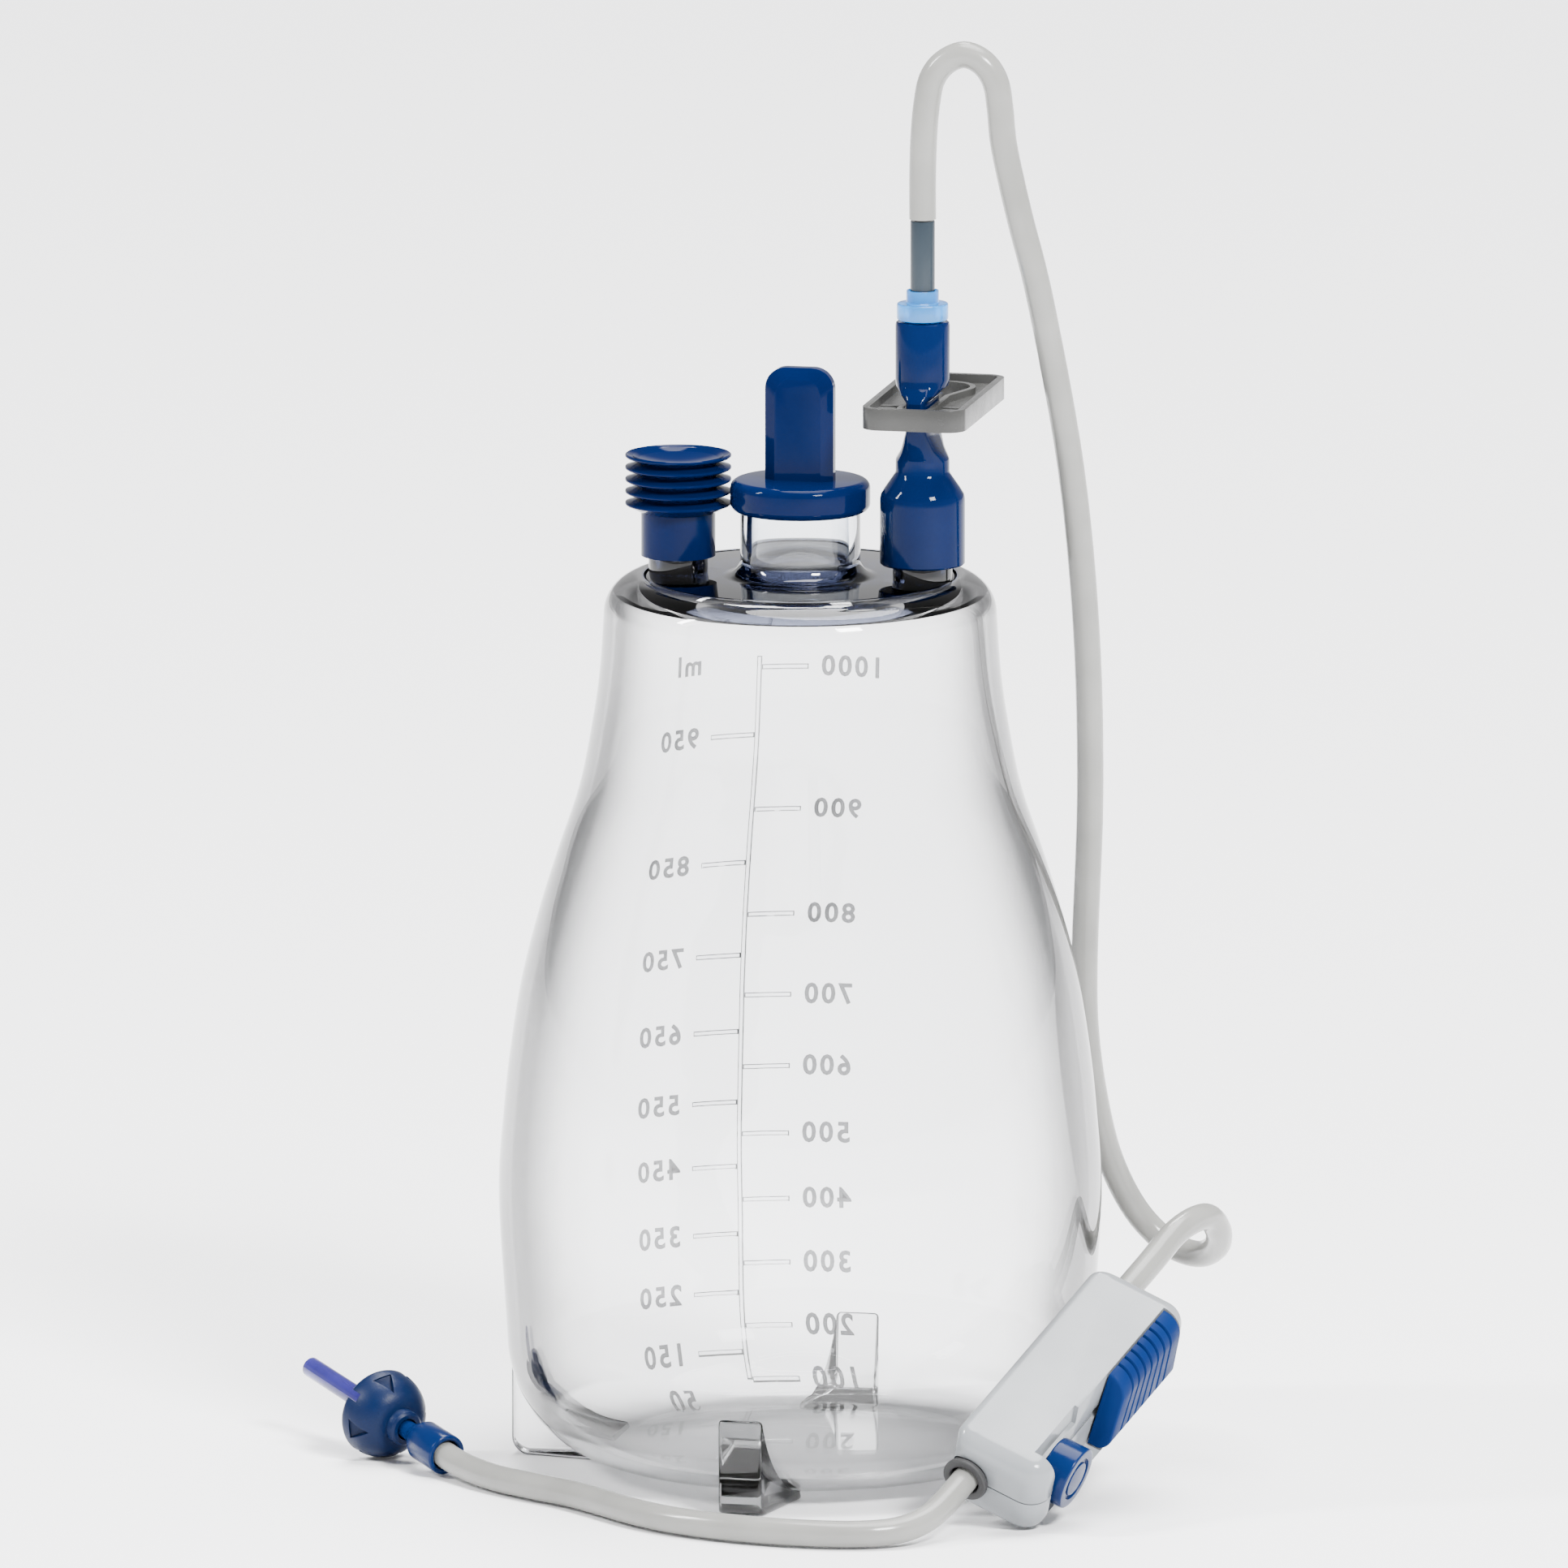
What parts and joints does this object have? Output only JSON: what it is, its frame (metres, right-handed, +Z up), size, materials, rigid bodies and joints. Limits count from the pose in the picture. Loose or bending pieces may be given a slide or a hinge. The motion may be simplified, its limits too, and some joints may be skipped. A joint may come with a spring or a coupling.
{
  "type": "pleural drainage bottle",
  "caption": "Clear plastic vacuum drainage bottle on fin feet, with a bellows indicator, a tabbed cap, a slide clamp, a thumb flow clamp and a drainage tube.",
  "frame": {"origin": "middle of the feet, on the surface the bottle stands on", "axes": "+Z up the bottle, X through the two small ports with the drainage tube's port on +X, feet on X and Y"},
  "size_m": [0.1652, 0.1322, 0.2578],
  "materials": {
    "clear_bottle": "clear, polished",
    "moulded_blue": "gloss, moulded",
    "blue_rubber": "satin",
    "sleeve_blue": "satin",
    "collar_pale_blue": "translucent, gloss",
    "clamp_grey": "matt, moulded",
    "insert_grey": "gloss",
    "tube_translucent": "translucent, satin",
    "shell_white": "satin, moulded",
    "bush_dark": "matt",
    "pin_steel": "satin",
    "sheath_purple": "translucent, gloss",
    "tip_white": "gloss"
  },
  "bodies": {
    "bottle": {"bottle_body": "clear_bottle", "port_plate": "clear_bottle", "vacuum_bellows": "blue_rubber", "port_sleeve": "sleeve_blue", "tube_collar": "collar_pale_blue", "tube_insert": "insert_grey", "drain_tube": "tube_translucent", "housing_upper_shell": "shell_white", "housing_lower_shell": "shell_white", "front_bush": "bush_dark", "wheel_pin": "pin_steel", "connector_hub": "moulded_blue", "connector_dome": "moulded_blue", "access_tip": "tip_white"},
    "cap": {"neck_cap": "blue_rubber"},
    "clamp_plate": {"slide_clamp": "clamp_grey"},
    "slider": {"thumb_slider": "moulded_blue"},
    "wheel": {"lock_wheel": "moulded_blue"},
    "sheath": {"tip_sheath": "sheath_purple"}
  },
  "joints": [
    {"name": "cap_pull", "type": "slide", "parent": "bottle", "child": "cap", "axis": [0, 0, 1], "range_m": [0, 0.012]},
    {"name": "slide_clamp_open", "type": "slide", "parent": "bottle", "child": "clamp_plate", "axis": [0, -1, 0], "range_m": [0, 0.0145]},
    {"name": "thumb_slider_close", "type": "slide", "parent": "bottle", "child": "slider", "axis": [-0.3294, -0.8363, -0.4384], "range_m": [0, 0.0085]},
    {"name": "lock_wheel_turn", "type": "hinge", "parent": "bottle", "child": "wheel", "pos_m": [0.05013, -0.04653, 0.01302], "axis": [0.9111, -0.1598, -0.3799], "range_deg": [0, 90]},
    {"name": "sheath_pull", "type": "slide", "parent": "bottle", "child": "sheath", "axis": [-0.6946, 0.6946, 0.1869], "range_m": [0, 0.022]}
  ]
}
